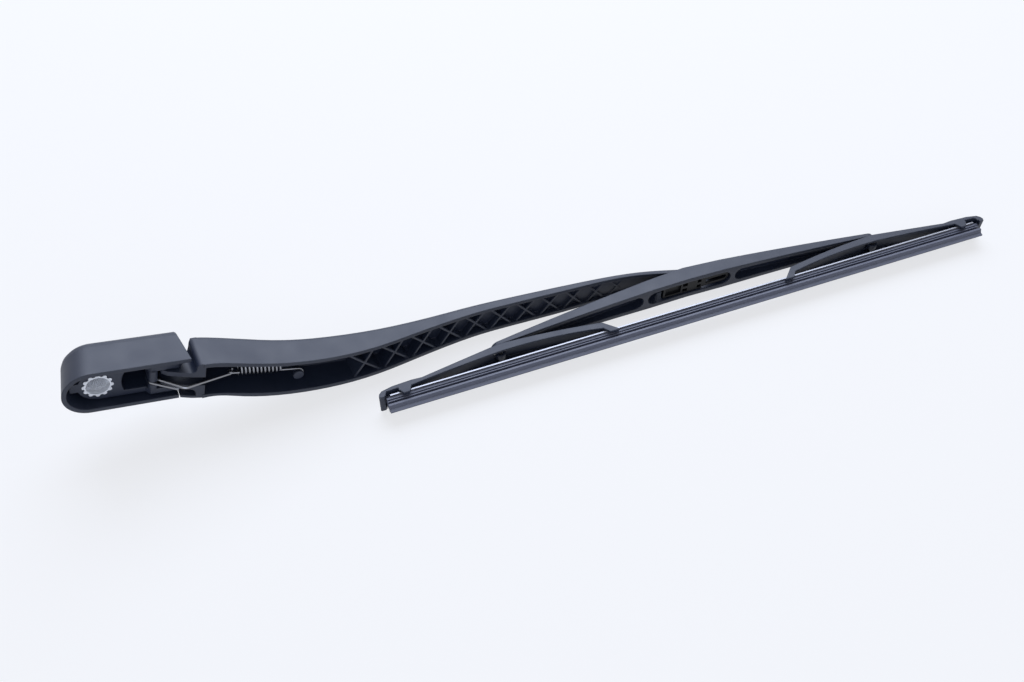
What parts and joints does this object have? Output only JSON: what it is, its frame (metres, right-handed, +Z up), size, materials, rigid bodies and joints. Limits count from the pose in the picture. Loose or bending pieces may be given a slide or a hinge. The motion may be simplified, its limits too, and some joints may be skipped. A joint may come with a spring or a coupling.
{
  "type": "rear wiper arm",
  "caption": "Moulded rear window wiper arm with a flip-up head cover, a tension spring, a wire link and a rocking blade with yokes and a rubber lip.",
  "frame": {"origin": "middle of the spindle bore at its mouth", "axes": "-Y towards the glass along the spindle bore, +X along the blade from the head, +Z across the blade; on a bench it lies on its side with +Z up"},
  "size_m": [0.5544, 0.108, 0.0647],
  "materials": {
    "moulded_black": "fine grained moulding",
    "clip_black": "smooth moulding",
    "bush_aluminium": "bright die cast",
    "steel_pins": "ground",
    "steel_wire": "drawn wire",
    "steel_strip": "rolled strip",
    "wiping_rubber": "cut and coated"
  },
  "bodies": {
    "head": {"head_body": "moulded_black", "spindle_bush": "bush_aluminium", "hinge_pin": "steel_pins", "link_pin": "steel_pins"},
    "cover": {"head_cover": "moulded_black"},
    "arm": {"wiper_arm": "moulded_black", "blade_clip": "clip_black"},
    "link": {"spring_link": "steel_wire"},
    "spring": {"tension_spring": "steel_wire"},
    "bridge": {"blade_bridge": "moulded_black", "clip_pin": "steel_pins", "wiper_rubber": "wiping_rubber", "upper_spline": "steel_strip", "lower_spline": "steel_strip"},
    "left_yoke": {"left_yoke": "moulded_black", "left_yoke_pin": "steel_pins"},
    "right_yoke": {"right_yoke": "moulded_black", "right_yoke_pin": "steel_pins"}
  },
  "joints": [
    {"name": "cover_flip", "type": "hinge", "parent": "head", "child": "cover", "pos_m": [0.03851, 0.013, -0.01082], "axis": [-0.2706, 0, -0.9627], "range_deg": [0, 65]},
    {"name": "arm_lift", "type": "hinge", "parent": "head", "child": "arm", "pos_m": [0.03851, 0.013, -0.01082], "axis": [0.2706, 0, 0.9627], "range_deg": [0, 55], "stiffness_Nm_per_rad": 0.5, "springref_deg": -103.13},
    {"name": "link_swing", "type": "hinge", "parent": "head", "child": "link", "pos_m": [0.02647, -0.0005, -0.00744], "axis": [0.2706, 0, 0.9627], "range_deg": [0, 45.39]},
    {"name": "spring_stretch", "type": "slide", "parent": "link", "child": "spring", "axis": [0.9547, -0.1283, -0.2684], "range_m": [0, 0.00937], "deforming": ["tension_spring"]},
    {"name": "blade_rock", "type": "hinge", "parent": "arm", "child": "bridge", "pos_m": [0.3407, -0.0408, -0.04], "axis": [0, 0, 1], "range_deg": [-3, 20]},
    {"name": "left_yoke_rock", "type": "hinge", "parent": "bridge", "child": "left_yoke", "pos_m": [0.21059, -0.04239, -0.04], "axis": [0, 0, 1], "range_deg": [-5, 5], "stiffness_Nm_per_rad": 0.3, "deforming": ["wiper_rubber", "upper_spline", "lower_spline"]},
    {"name": "right_yoke_rock", "type": "hinge", "parent": "bridge", "child": "right_yoke", "pos_m": [0.46167, -0.06392, -0.04], "axis": [0, 0, 1], "range_deg": [-5, 5], "stiffness_Nm_per_rad": 0.3, "deforming": ["wiper_rubber", "upper_spline", "lower_spline"]}
  ],
  "couplings": [
    {"joint": "link_swing", "follows": "arm_lift", "ratio": 0.8162},
    {"joint": "spring_stretch", "follows": "arm_lift", "m_per_rad": 0.00945}
  ]
}
